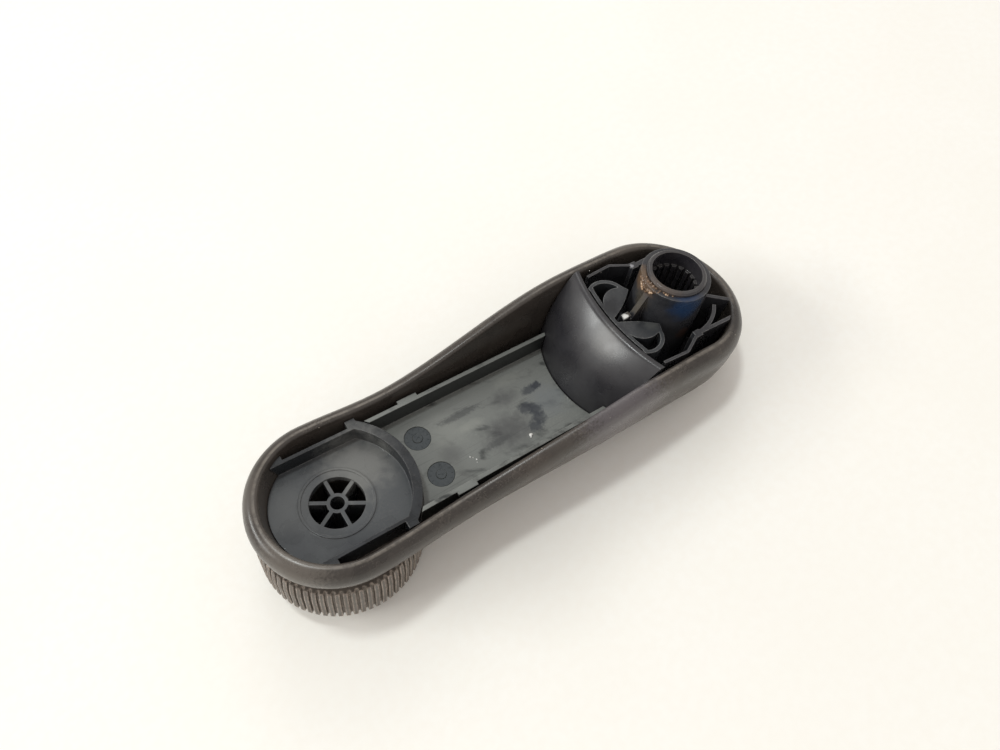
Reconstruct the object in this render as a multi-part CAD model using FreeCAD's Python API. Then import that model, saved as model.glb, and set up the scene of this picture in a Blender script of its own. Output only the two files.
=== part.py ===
"""Car window winder handle, modelled back side up, as it lies in the photo.

Sizes are in millimetres. The origin is on the spindle axis in the plane of the socket's
mouth. +X runs along the arm to the knob, and +Z points out of the socket, away from the
front of the handle. The whole handle is symmetrical about the plane y = 0.
"""
import FreeCAD
import Part
import math
import os

V = FreeCAD.Vector
Z_AXIS = V(0, 0, 1)
Y_AXIS = V(0, 1, 0)

# Arm outline, at its widest line
axis_distance = 90.0
hub_radius = 20.4
knob_end_radius = 19.7
waist_half_width = 18.8
waist_start_share = 0.28
waist_share = 0.75

# Arm heights, measured down from the socket's mouth
hub_rim_depth = 9.0
hub_tail_drop = 1.6
knob_rim_depth = 22.1
hub_front_depth = 29.4
knob_front_depth = 31.2
widest_drop = 3.9
crank_start_share = 0.13
crank_end_share = 0.88

# Shell section
front_thickness = 1.4
hub_rim_width = 4.0
rim_width = 3.7
rim_crest_share = 0.75
front_edge_inset = 4.6
inner_foot_inset = 5.1
cavity_clearance = 0.15

# Tray between the dam and the knob cup
tray_thickness = 0.7
tray_half_width = 13.1
rail_height = 5.2
rail_thickness = 1.0
tab_centre_share = 0.72
tab_length = 5.1
tab_reach = 0.8
stamp_centre_share = 0.74
stamp_offset = 5.4
stamp_radius = 3.2
stamp_depth = 0.25
stamp_pin_radius = 1.2

# Knob cup, and the hollow post that carries the knob
cup_floor_depth = 28.0
cup_floor_thickness = 1.5
cup_wall_depth = 23.7
ring_inner_radius = 16.4
ring_wall = 2.2
chord_offset = 12.4
chord_wall = 0.8
chord_hub_reach = 9.6
chord_far_reach = 6.3
hub_block_length = 2.4
far_block_length = 3.2
cup_block_width = 2.6
post_ring_radius = 8.5
post_ring_width = 0.6
post_ring_height = 0.2
post_inner_radius = 6.2
post_wall = 1.2
post_reach = 10.9
post_shoulder = 0.7
post_shoulder_height = 3.4
web_count = 6
web_thickness = 0.9
web_turn_deg = 30.0
tube_outer_radius = 2.4
tube_wall = 0.8
post_lip = 0.35

# Knob
knob_gap = 0.35
running_clearance = 0.08
knob_inset = 0.3
knob_radius = knob_end_radius - knob_inset
knob_height = 13.1
knob_bulge = 0.5
knob_full_share = 0.33
neck_radius = 17.2
neck_height = 1.6
rib_count = 70
rib_share = 0.56
rib_depth = 0.75
rib_flank_share = 0.1
barrel_wall = 1.6
barrel_web = 1.5
sleeve_wall = 1.6
cover_thickness = 1.5
cover_crown = 0.5
cover_lip = 1.4
cover_inset = 0.4
cover_clearance = 0.1
retainer_radius = 9.6
retainer_thickness = 1.2
retainer_gap = 0.3
leg_count = 3
leg_width = 2.6
leg_thickness = 1.2
barb_height = 1.4
barb_reach = 0.5

# Hub core
hub_base_thickness = 1.6
boss_radius = 8.4
boss_foot_radius = 8.9
boss_drop = 1.0
rib_top_depth = 9.6
gusset_thickness = 1.4
gusset_start_depth = 3.3
gusset_foot = 11.4
gusset_foot_depth = 10.3
stud_end = 14.1
stud_length = 2.1
stud_depth = 8.6
hub_rib_thickness = 0.9
ring_rib_radius = 12.1
ring_rib_start_deg = 88.0
ring_rib_end_deg = 141.0
spoke_place = 10.5
spoke_offset = 5.0
spoke_turn_deg = 139.0
block_size = 1.9
block_place = 0.3
block_offset = 12.3
fence_thickness = 0.7
fence_kink = 6.0
fence_kink_offset = 15.2
fence_end = 13.2
fence_end_offset = 14.8
back_rib_offset = 12.9

# Splined bush in the boss
bore_radius = 6.05
bush_wall = 1.15
pilot_length = 4.0
mouth_chamfer = 0.4
spline_count = 20
spline_depth = 0.7
spline_length = 14.0
spline_share = 0.5
bush_floor = 1.5

# Dam, the sloping wall between tray and hub
dam_foot = 28.8
dam_top = 19.2
dam_top_depth = 8.1
dam_bulge = 2.0
dam_thickness = 1.5
dam_foot_radius = 26.0
dam_top_radius = 50.0
dam_gap = 0.3

# Retaining clip, two mirrored spring loops
clip_top_depth = 8.6
clip_height = 5.0
clip_band = 0.9
loop_root = 11.0
loop_span = 11.9
loop_middle = 13.4
loop_heel = 8.4
loop_heel_offset = 7.9
loop_strip = 0.9
pad_tip_offset = 0.7
pad_tip_width = 2.3
pad_outer_heel = 9.8
pad_outer_middle = 14.5
pad_outer_offset = 7.0
pad_inner_middle = 12.2
pad_inner_offset = 2.6
pad_heel = 7.5
pad_heel_offset = 6.0

# Spans of the long side curves, and strips up each stretch of wall
side_steps = 9
wall_strips = 5
rim_strips = 4
inner_strips = 2
dam_strips = 4

reach = 2 * axis_distance


def ease(t):
    """Smooth step from 0 to 1 with level ends."""
    t = min(max(t, 0), 1)
    return t * t * (3 - 2 * t)


def half_width(x):
    """Half width of the arm's widest line at x."""
    start, waist = waist_start_share * axis_distance, waist_share * axis_distance
    if x <= waist:
        return hub_radius + (waist_half_width - hub_radius) * ease((x - start) / (waist - start))
    step = ease((x - waist) / (axis_distance - waist))
    return waist_half_width + (knob_end_radius - waist_half_width) * step


def crest_height(x):
    """Height of the rim's crest: it tilts down behind the spindle and sinks to the knob end."""
    if x < 0:
        return -hub_rim_depth + hub_tail_drop * x / hub_radius
    start = crank_start_share * axis_distance
    end = crank_end_share * axis_distance
    return -hub_rim_depth - (knob_rim_depth - hub_rim_depth) * ease((x - start) / (end - start))


def front_height(x):
    """Height of the flat front face."""
    return -hub_front_depth - (knob_front_depth - hub_front_depth) * x / axis_distance


def floor_height(x):
    """Height of the shell's inner floor."""
    return front_height(x) + front_thickness


def rim_width_at(x):
    """Width of the rim, which is broader round the hub."""
    return hub_rim_width + (rim_width - hub_rim_width) * ease(x / hub_radius)


def side_edge(inset, height, side):
    """Long edge of a ring, from the hub's arc to the knob end's; side is 1 or -1."""
    points, shares = [], []
    for i in range(side_steps + 1):
        share = i / side_steps
        x = axis_distance * share
        points.append(V(x, side * (half_width(x) - inset(x)), height(x)))
        shares.append(share)
    start_run = V(axis_distance, 0, height(0) - height(-axis_distance))
    end_run = V(axis_distance, 0, height(2 * axis_distance) - height(axis_distance))
    curve = Part.BSplineCurve()
    curve.interpolate(Points=points, Parameters=shares, InitialTangent=start_run, FinalTangent=end_run)
    return curve.toShape()


def end_arc(x, radius, way, inset, height):
    """Half circle of a ring round one end of the arm; way is -1 at the hub and 1 at the knob."""
    r = radius - inset(x)
    points = [V(x, -r, height(x)), V(x + way * r, 0, height(x + way * r)), V(x, r, height(x))]
    return Part.Arc(*points).toShape()


def ring(inset, height):
    """Closed smooth wire inside the widest line; inset and height are functions of x."""
    edges = [end_arc(0, hub_radius, -1, inset, height), side_edge(inset, height, 1),
             end_arc(axis_distance, knob_end_radius, 1, inset, height), side_edge(inset, height, -1)]
    return Part.Wire(Part.sortEdges(edges)[0])


def turns(step_count):
    """Cosine and sine of even steps through a quarter turn, as shares."""
    angles = [math.pi / 2 * i / step_count for i in range(step_count + 1)]
    return [(math.cos(a), math.sin(a)) for a in angles]


def widest_height(x):
    """Height of the arm's widest line."""
    return crest_height(x) - widest_drop


def crest_inset(x):
    """Distance from the widest line in to the rim's crest."""
    return rim_width_at(x) * rim_crest_share


def lip(x):
    """Distance from the rim's crest in to its inner edge."""
    return rim_width_at(x) * (1 - rim_crest_share)


def wall_rings():
    """Sections up the outside wall, from the front face to the widest line."""
    rings = []
    for c, s in turns(wall_strips)[::-1]:
        rings.append(ring(lambda x, c=c: front_edge_inset * (1 - c),
                          lambda x, s=s: widest_height(x) + (front_height(x) - widest_height(x)) * s))
    return rings


def rim_rings():
    """Sections over the rim: from the widest line to the crest, then to the inner edge."""
    rings = []
    for c, s in turns(rim_strips):
        rings.append(ring(lambda x, c=c: crest_inset(x) * (1 - c),
                          lambda x, s=s: widest_height(x) + widest_drop * s))
    for c, s in turns(rim_strips)[::-1][1:]:
        rings.append(ring(lambda x, c=c: crest_inset(x) + lip(x) * c,
                          lambda x, s=s: crest_height(x) - lip(x) * (1 - s)))
    return rings


def inner_rings(clearance):
    """Sections down the inside of the shell, from the rim's inner edge to the floor."""
    def edge_height(x):
        return crest_height(x) - lip(x)

    rings = []
    for i in range(inner_strips + 1):
        share = i / inner_strips
        rings.append(ring(lambda x, k=share: rim_width_at(x) + (inner_foot_inset - rim_width_at(x)) * k + clearance,
                          lambda x, k=share: edge_height(x) + (floor_height(x) - edge_height(x)) * k))
    return rings


def cavity():
    """The room inside the shell, a little smaller, open far above the rim."""
    rings = inner_rings(cavity_clearance)
    top = ring(lambda x: rim_width_at(x) + cavity_clearance, lambda x: hub_radius)
    return Part.makeLoft([top] + rings, True, True)


def below_floor(raise_by=0):
    """Large block under the shell's inner floor, for cutting pieces that stand on it."""
    block = Part.makeBox(2 * reach, reach, reach, V(-reach, -reach / 2, -reach))
    slope = math.degrees(math.atan((knob_front_depth - hub_front_depth) / axis_distance))
    block.rotate(V(0, 0, 0), Y_AXIS, slope)
    block.translate(V(0, 0, floor_height(0) + raise_by))
    return block


def cylinder(radius, low, high, x=0):
    """Upright cylinder on the arm's middle plane."""
    return Part.makeCylinder(radius, high - low, V(x, 0, low), Z_AXIS)


def pipe(inner, outer, low, high, x=0):
    """Upright pipe on the arm's middle plane."""
    return cylinder(outer, low, high, x).cut(cylinder(inner, low, high, x))


def box(x0, x1, y0, y1, z0, z1):
    """Box from its limits."""
    return Part.makeBox(x1 - x0, y1 - y0, z1 - z0, V(x0, y0, z0))


def revolve(profile, x=0):
    """Solid turned about the upright axis at x from (radius, height) points."""
    points = [V(x + r, 0, z) for r, z in profile]
    face = Part.Face(Part.makePolygon(points + points[:1]))
    return face.revolve(V(x, 0, 0), Z_AXIS, 360)


def bar(start, end, thickness, low, high):
    """Straight upright wall between two plan points, with square ends."""
    (x0, y0), (x1, y1) = start, end
    length = math.hypot(x1 - x0, y1 - y0)
    wall = Part.makeBox(length, thickness, high - low, V(0, -thickness / 2, low))
    wall.rotate(V(0, 0, 0), Z_AXIS, math.degrees(math.atan2(y1 - y0, x1 - x0)))
    wall.translate(V(x0, y0, 0))
    return wall


def mirror(shape):
    """The same shape on the other side of the arm."""
    return shape.mirror(V(0, 0, 0), Y_AXIS)


def both(shapes):
    """Shapes together with their mirror images."""
    return shapes + [mirror(s) for s in shapes]


def fuse(shapes):
    """One solid from shapes that touch or overlap."""
    return shapes[0].multiFuse(shapes[1:]).removeSplitter()


def make_shell():
    """Outer shell: skins up the wall, over the rounded rim and down to the floor, sewn."""
    rings = wall_rings() + rim_rings()[1:] + inner_rings(0)[1:]
    shell = Part.makeLoft(rings, True, True)
    radius = post_inner_radius + post_wall + knob_gap
    return shell.cut(cylinder(radius, -reach, 0, axis_distance))


def dam_sections(shift, thickness):
    """Curved strips up the dam, moved by shift toward the knob, thickness deep."""
    foot_z = floor_height(dam_foot)
    sections = []
    for i in range(-1, dam_strips + 1):
        share = i / dam_strips
        lean = dam_foot + (dam_top - dam_foot) * share + 4 * dam_bulge * share * (1 - share)
        radius = dam_foot_radius + (dam_top_radius - dam_foot_radius) * max(share, 0)
        z = foot_z + (-dam_top_depth - foot_z) * share
        sections.append(band(lean + shift, radius, thickness, z))
    return Part.makeLoft(sections, True, True)


def make_dam():
    """Dam: a wall convex to the knob that leans to the hub, trimmed by the shell."""
    return dam_sections(0, dam_thickness).common(cavity()).cut(below_floor())


def band(front, radius, thickness, z):
    """Closed wire of a curved strip across the arm, its front convex to the knob."""
    half = hub_radius
    sag = radius - math.sqrt(radius * radius - half * half)
    middle, corner = V(front, 0, z), V(front - sag, half, z)
    back_middle, back_corner = V(front - thickness, 0, z), V(front - thickness - sag, half, z)
    corner_far, back_far = V(corner.x, -half, z), V(back_corner.x, -half, z)
    edges = [Part.Arc(corner_far, middle, corner).toShape(), Part.makeLine(corner, back_corner),
             Part.Arc(back_corner, back_middle, back_far).toShape(), Part.makeLine(back_far, corner_far)]
    return Part.Wire(edges)


def make_tray():
    """Tray: floor, two rails and their tabs, between the dam and the knob cup."""
    low, top = 0, tray_thickness
    x0 = dam_foot - hub_radius
    x1 = axis_distance
    rail_top = top + rail_height
    floor = box(x0, x1, -tray_half_width, tray_half_width, low, top)
    rail = box(x0, x1, tray_half_width - rail_thickness, tray_half_width, low, rail_top)
    tab_x = tab_centre_share * axis_distance
    tab = box(tab_x - tab_length / 2, tab_x + tab_length / 2, tray_half_width - rail_thickness,
              tray_half_width + tab_reach, rail_top - rail_thickness, rail_top)
    tray = fuse([floor] + both([rail, tab]))
    stamps = []
    for side in (-1, 1):
        spot = V(stamp_centre_share * axis_distance, side * stamp_offset, top - stamp_depth)
        disc = Part.makeCylinder(stamp_radius, stamp_depth, spot, Z_AXIS)
        stamps.append(disc.cut(Part.makeCylinder(stamp_pin_radius, stamp_depth, spot, Z_AXIS)))
    tray = tray.cut(stamps[0]).cut(stamps[1])
    slope = math.degrees(math.atan((knob_front_depth - hub_front_depth) / axis_distance))
    tray.rotate(V(0, 0, 0), Y_AXIS, slope)
    tray.translate(V(0, 0, floor_height(0)))
    end = cylinder(ring_inner_radius + ring_wall + dam_gap, -reach, 0, axis_distance)
    return tray.cut(end).cut(dam_sections(dam_gap, axis_distance)).common(cavity())


def make_cup():
    """Knob cup: floor, ring wall, chord walls and the hollow post with its webs."""
    floor_z, wall_z = -cup_floor_depth, -cup_wall_depth
    under = floor_z - cup_floor_thickness
    outer = ring_inner_radius + ring_wall
    hub_x = axis_distance - chord_hub_reach
    far_x = axis_distance + chord_far_reach
    chord = chord_offset + chord_wall
    block = chord_offset + cup_block_width
    disc = cylinder(outer, under, floor_z, axis_distance)
    disc = disc.common(box(0, reach, -chord, chord, under, floor_z))
    wall = pipe(ring_inner_radius, outer, -reach, wall_z, axis_distance)
    wall = wall.common(box(0, hub_x, -block, block, -reach, wall_z)).cut(below_floor())
    mark = pipe(post_ring_radius - post_ring_width, post_ring_radius, under, floor_z + post_ring_height,
                axis_distance)
    parts = [disc, wall, mark, make_post(under)]
    side = [box(hub_x - hub_block_length, far_x + far_block_length, chord_offset, chord, under, wall_z)]
    side.append(box(hub_x - hub_block_length, hub_x, chord_offset, block, under, wall_z))
    side.append(box(far_x, far_x + far_block_length, chord_offset, hub_radius, under, wall_z))
    cup = fuse(parts + both(side)).common(cavity())
    return cup.cut(cylinder(post_inner_radius, under, floor_z, axis_distance)).fuse(make_webs()).removeSplitter()


def make_post(top):
    """Hollow post below the cup's floor, with an inner shoulder for the retainer's barbs."""
    low = retainer_top()
    post = pipe(post_inner_radius, post_inner_radius + post_wall, low, top, axis_distance)
    shoulder_top = low + post_shoulder_height
    return post.fuse(pipe(post_inner_radius - post_shoulder, post_inner_radius, low, shoulder_top, axis_distance))


def make_webs():
    """Six radial webs and the small tube on the post's axis."""
    low = retainer_top() + post_shoulder_height + barb_height + post_shoulder
    high = -cup_floor_depth - post_lip
    tube = cylinder(tube_outer_radius, low, high, axis_distance)
    webs = [tube]
    for i in range(web_count):
        angle = math.radians(web_turn_deg + 360 * i / web_count)
        rim = post_inner_radius + post_wall / 2
        end = (axis_distance + rim * math.cos(angle), rim * math.sin(angle))
        webs.append(bar((axis_distance, 0), end, web_thickness, low, high))
    hole = cylinder(tube_outer_radius - tube_wall, low, high, axis_distance)
    return fuse(webs).cut(hole)


def make_barrel():
    """Knob barrel: neck, ribbed wall, web and the sleeve that runs on the post."""
    top = knob_top()
    rib_top = top - neck_height
    low = rib_top - knob_height
    sleeve = post_inner_radius + post_wall + running_clearance
    sleeve_low = retainer_top() + retainer_gap
    waist = knob_radius - knob_bulge
    middle = rib_top - knob_height * knob_full_share
    rings = [rib_ring(waist, rib_top), rib_ring(knob_radius, middle), rib_ring(knob_radius, low)]
    barrel = Part.makeLoft(rings, True, True).fuse(cylinder(neck_radius, rib_top, top, axis_distance))
    inside = waist - rib_depth - barrel_wall
    ceiling = top - barrel_web
    hollow = [(0, top), (sleeve, top), (sleeve, sleeve_low), (sleeve + sleeve_wall, sleeve_low),
              (sleeve + sleeve_wall, ceiling), (inside, ceiling), (inside, low), (0, low)]
    return barrel.cut(revolve(hollow, axis_distance))


def rib_ring(radius, height):
    """Closed outline of the grip ribs at one height."""
    points = []
    pitch = 2 * math.pi / rib_count
    inner = radius - rib_depth
    for i in range(rib_count):
        for share, r in ((-rib_share / 2 - rib_flank_share, inner), (-rib_share / 2, radius),
                         (rib_share / 2, radius), (rib_share / 2 + rib_flank_share, inner)):
            angle = pitch * (i + share)
            points.append(V(axis_distance + r * math.cos(angle), r * math.sin(angle), height))
    return Part.makePolygon(points + points[:1])


def knob_top():
    """Height of the knob's end face, under the lowest part of the arm's front above it."""
    spots = (axis_distance - knob_end_radius, axis_distance + knob_end_radius)
    return min(front_height(x) for x in spots) - knob_gap


def retainer_top():
    """Height of the retainer's flange, which bears on the post's end."""
    return knob_top() - post_reach


def make_cover():
    """Knob cover: the smooth disc pressed into the barrel's mouth, slightly dished."""
    low = knob_top() - neck_height - knob_height
    top = low + cover_thickness
    radius = knob_radius - knob_bulge - rib_depth - barrel_wall - cover_clearance
    dish = radius - cover_lip
    profile = [(0, top), (radius, top), (radius, low), (dish, low), (dish - cover_inset, low + cover_crown),
               (0, low + cover_crown)]
    return revolve(profile, axis_distance)


def make_retainer():
    """Retainer: flange under the post with three barbed legs that snap inside it."""
    top = retainer_top()
    flange = cylinder(retainer_radius, top - retainer_thickness, top, axis_distance)
    bore = post_inner_radius - post_shoulder
    shoulder_z = top + post_shoulder_height
    leg_outer = bore - running_clearance
    parts = [flange]
    middle = leg_outer - leg_thickness / 2
    barb_z = shoulder_z + barb_height
    for i in range(leg_count):
        leg = box(leg_outer - leg_thickness, leg_outer, -leg_width / 2, leg_width / 2, top, barb_z)
        corners = [V(middle, 0, shoulder_z), V(leg_outer + barb_reach, 0, shoulder_z), V(leg_outer, 0, barb_z),
                   V(middle, 0, barb_z)]
        barb = Part.Face(Part.makePolygon(corners + corners[:1])).extrude(V(0, leg_width, 0))
        barb.translate(V(0, -leg_width / 2, 0))
        leg = leg.common(cylinder(leg_outer, top, barb_z)).fuse(barb)
        leg.rotate(V(0, 0, 0), Z_AXIS, 360 * i / leg_count)
        leg.translate(V(axis_distance, 0, 0))
        parts.append(leg)
    return fuse(parts)


def make_hub_core():
    """Hub core: base plate, boss, gusset, ring rib, radial ribs and the fence ribs."""
    low = floor_height(hub_radius)
    top = -rib_top_depth
    base = box(-reach, dam_foot, -reach, reach, -reach / 2, reach)
    base = base.common(cavity()).cut(below_floor())
    base = base.common(below_floor(hub_base_thickness))
    boss = revolve([(0, low), (boss_foot_radius, low), (boss_radius, -boss_drop), (0, -boss_drop)])
    ribs = [gusset(low)] + both(side_ribs(low, top))
    core = fuse([base, boss] + ribs)
    core = core.cut(cylinder(bore_radius + bush_wall, bush_low(), 0))
    return core.common(cavity()).cut(dam_sections(reach, reach + dam_thickness + dam_gap))


def gusset(low):
    """Rib on the boss's knob side: its top falls steeply and ends in a small upright stud."""
    corners = [V(0, 0, low), V(stud_end, 0, low), V(stud_end, 0, -stud_depth),
               V(stud_end - stud_length, 0, -stud_depth), V(stud_end - stud_length, 0, -gusset_foot_depth),
               V(gusset_foot, 0, -gusset_foot_depth), V(boss_radius, 0, -gusset_start_depth),
               V(0, 0, -gusset_start_depth)]
    face = Part.Face(Part.makePolygon(corners + corners[:1]))
    rib = face.extrude(V(0, gusset_thickness, 0))
    rib.translate(V(0, -gusset_thickness / 2, 0))
    return rib


def side_ribs(low, top):
    """Ribs on one side of the hub: spoke, ring rib, square block, back rib and fence."""
    angle = math.radians(spoke_turn_deg)
    c, s = math.cos(angle), math.sin(angle)
    spoke = bar((-spoke_place - boss_radius * c / 2, spoke_offset - boss_radius * s / 2),
                (-spoke_place + hub_radius * c, spoke_offset + hub_radius * s), hub_rib_thickness, low, top)
    outer = ring_rib_radius + hub_rib_thickness / 2
    arc = pipe(outer - hub_rib_thickness, outer, low, top)
    span = ring_rib_end_deg - ring_rib_start_deg
    wedge = Part.makeCylinder(hub_radius, top - low, V(0, 0, low), Z_AXIS, span)
    wedge.rotate(V(0, 0, 0), Z_AXIS, ring_rib_start_deg)
    half = block_size / 2
    block = box(block_place - half, block_place + half, block_offset - half, block_offset + half, low, top)
    corner = (block_place, block_offset)
    kink = (fence_kink, fence_kink_offset)
    rest = [bar(corner, kink, fence_thickness, low, top),
            bar(kink, (fence_end, fence_end_offset), fence_thickness, low, top),
            bar(corner, (-hub_radius, back_rib_offset), hub_rib_thickness, low, top)]
    return [spoke, arc.common(wedge), block] + rest


def bush_low():
    """Height of the bush's closed end."""
    return -pilot_length - spline_length - bush_floor


def make_bush():
    """Splined bush: smooth pilot at the mouth, splines below it, closed end."""
    outer = bore_radius + bush_wall
    bush = revolve([(0, bush_low()), (outer, bush_low()), (outer, -mouth_chamfer), (outer - mouth_chamfer, 0), (0, 0)])
    bore = cylinder(bore_radius, -pilot_length, 0)
    return bush.cut(bore).cut(spline_hole())


def spline_hole():
    """Prism of the splined hole."""
    points = []
    pitch = 2 * math.pi / spline_count
    tip = bore_radius - spline_depth
    for i in range(spline_count):
        for share, radius in ((-spline_share / 2, tip), (-spline_share / 4, bore_radius),
                              (spline_share / 4, bore_radius), (spline_share / 2, tip)):
            angle = pitch * (i + share)
            points.append(V(radius * math.cos(angle), radius * math.sin(angle), -pilot_length - spline_length))
    face = Part.Face(Part.makePolygon(points + points[:1]))
    return face.extrude(V(0, 0, spline_length))


def make_clip():
    """Retaining clip: a band behind the dam with two mirrored loops and their pads."""
    top = -clip_top_depth
    low = top - clip_height
    root = dam_top - dam_thickness - 2 * dam_gap
    strip = band(root, dam_top_radius, clip_band, low)
    strip = Part.Face(strip).extrude(V(0, 0, clip_height))
    strip = strip.common(box(0, axis_distance, -loop_root, loop_root, low, top))
    return fuse([strip] + both([plan_prism(loop_edges(root, low), clip_height),
                                plan_prism(pad_edges(root, low), clip_height)]))


def plan_prism(edges, height):
    """Upright prism from a closed loop of plan edges."""
    return Part.Face(Part.Wire(edges)).extrude(V(0, 0, height))


def loop_edges(root, z):
    """Plan of one spring loop, from the band round to the pad's heel."""
    start = root - clip_band
    outer = [V(start, loop_root, z), V(loop_middle, loop_span, z), V(loop_heel, loop_heel_offset, z)]
    inner = [V(start, loop_root - loop_strip, z), V(loop_middle, loop_span - loop_strip, z),
             V(loop_heel + loop_strip, loop_heel_offset, z)]
    return [Part.Arc(*outer).toShape(), Part.makeLine(outer[2], inner[2]),
            Part.Arc(*inner[::-1]).toShape(), Part.makeLine(inner[0], outer[0])]


def pad_edges(root, z):
    """Plan of one leaf-shaped pad, from the loop's end to a tip beside the middle rib."""
    start = root - clip_band
    tip = V(start, pad_tip_offset, z)
    tip_out = V(start, pad_tip_offset + pad_tip_width, z)
    heel_out, heel_in = V(pad_outer_heel, loop_heel_offset, z), V(loop_heel, loop_heel_offset, z)
    heel = V(pad_heel, pad_heel_offset, z)
    return [Part.Arc(tip_out, V(pad_outer_middle, pad_outer_offset, z), heel_out).toShape(),
            Part.makeLine(heel_out, heel_in), Part.makeLine(heel_in, heel),
            Part.Arc(heel, V(pad_inner_middle, pad_inner_offset, z), tip).toShape(), Part.makeLine(tip, tip_out)]


def export(name, shape):
    """Write one piece, which must be a single valid solid."""
    if len(shape.Solids) != 1 or not shape.isValid():
        raise ValueError("%s is not one valid solid" % name)
    shape.Solids[0].exportStep("parts/%s.step" % name)


def main():
    """Build and write every piece."""
    os.makedirs("parts", exist_ok=True)
    export("outer_shell", make_shell())
    export("tray", make_tray())
    export("knob_cup", make_cup())
    export("hub_core", make_hub_core())
    export("splined_bush", make_bush())
    export("dam", make_dam())
    export("retaining_clip", make_clip())
    export("knob_barrel", make_barrel())
    export("knob_cover", make_cover())
    export("knob_retainer", make_retainer())


main()
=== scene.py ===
"""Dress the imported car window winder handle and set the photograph's view.

Every length is in metres, in the frame of the solids: the origin is on the spindle axis in
the plane of the socket's mouth, +X runs along the arm to the knob and +Z out of the socket.
"""
import logging
import math
from dataclasses import dataclass, field
from enum import Enum

import bmesh
import bpy
from mathutils import Matrix, Vector, noise


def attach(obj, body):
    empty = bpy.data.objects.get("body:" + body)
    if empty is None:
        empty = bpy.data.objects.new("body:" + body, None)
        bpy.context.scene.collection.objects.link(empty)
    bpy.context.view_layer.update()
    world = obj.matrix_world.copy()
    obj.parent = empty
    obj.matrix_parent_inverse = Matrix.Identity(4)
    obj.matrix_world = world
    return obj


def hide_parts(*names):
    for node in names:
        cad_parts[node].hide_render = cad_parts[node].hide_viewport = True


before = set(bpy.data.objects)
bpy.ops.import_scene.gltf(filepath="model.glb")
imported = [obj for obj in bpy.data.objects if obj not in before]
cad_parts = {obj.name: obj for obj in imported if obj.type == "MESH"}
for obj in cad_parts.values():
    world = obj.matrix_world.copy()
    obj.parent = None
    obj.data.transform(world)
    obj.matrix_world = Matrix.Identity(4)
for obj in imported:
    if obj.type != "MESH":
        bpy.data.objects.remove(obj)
LOG = logging.getLogger("winder")
MM = 0.001
BEVEL_SAMPLES = 6
Colour = tuple[float, float, float]
Socket = bpy.types.NodeSocket
Material = bpy.types.Material


class Body(Enum):
    """The two rigid bodies of the handle."""

    HANDLE = "handle"
    KNOB = "knob"


class Slot(Enum):
    """Finish names that some added pieces are listed with."""

    SHELL = "shell_plastic"
    TRAY = "tray_plastic"
    DAM = "dam_plastic"
    CLIP = "clip_plastic"


class Bench:
    """A node tree with short ways to place nodes and join their sockets."""

    def __init__(self, tree: bpy.types.NodeTree) -> None:
        """Keep the tree.

        Args:
            tree: the node tree to work on.
        """
        self.tree = tree

    def feed(self, node: bpy.types.Node, values: dict) -> None:
        """Set a node's inputs.

        Args:
            node: the node.
            values: socket names or numbers to a value, or to a socket that feeds them.
        """
        for name, value in values.items():
            if isinstance(value, Socket):
                self.tree.links.new(value, node.inputs[name])
            else:
                node.inputs[name].default_value = value

    def node(self, kind: str, values: dict | None = None, **settings: object) -> bpy.types.Node:
        """Add a node.

        Args:
            kind: the node's type name, without its ShaderNode start.
            values: what its inputs hold, as for feed.
            **settings: properties of the node itself.

        Returns:
            The new node.
        """
        made = self.tree.nodes.new("ShaderNode" + kind)
        for name, value in settings.items():
            setattr(made, name, value)
        self.feed(made, values or {})
        return made

    def math(self, operation: str, *terms: object, clamp: bool = False) -> Socket:
        """Add a Math node and give its output."""
        values = dict(enumerate(terms))
        return self.node("Math", values, operation=operation, use_clamp=clamp).outputs[0]

    def noise(self, point: Socket, scale: object, detail: float = 3.0, rough: float = 0.55,
              distortion: float = 0.0) -> Socket:
        """Add a noise of a given scale, in waves per metre, and give its value."""
        values = {"Vector": point, "Scale": scale, "Detail": detail, "Roughness": rough,
                  "Distortion": distortion}
        return self.node("TexNoise", values).outputs["Fac"]

    def ramp(self, value: Socket, low: object, high: object,
             out_low: float = 0.0, out_high: float = 1.0) -> Socket:
        """Map a range of a value smoothly to another range."""
        values = {"Value": value, "From Min": low, "From Max": high, "To Min": out_low, "To Max": out_high}
        return self.node("MapRange", values, interpolation_type="SMOOTHSTEP").outputs["Result"]

    def upward(self) -> Socket:
        """Give how far the surface faces up, from -1 to 1."""
        return self.node("SeparateXYZ", {0: self.node("NewGeometry").outputs["Normal"]}).outputs["Z"]

    def mix(self, share: object, first: object, second: object) -> Socket:
        """Mix two colours.

        Args:
            share: how much of the second colour shows.
            first: a socket or an RGB tuple.
            second: the same.

        Returns:
            The mixed colour.
        """
        made = self.node("Mix", {"Factor": share}, data_type="RGBA")
        for name, value in (("A", first), ("B", second)):
            socket = [s for s in made.inputs if s.name == name and s.type == "RGBA"][0]
            if isinstance(value, Socket):
                self.tree.links.new(value, socket)
            else:
                socket.default_value = (*value, 1.0)
        return [s for s in made.outputs if s.type == "RGBA"][0]


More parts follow.
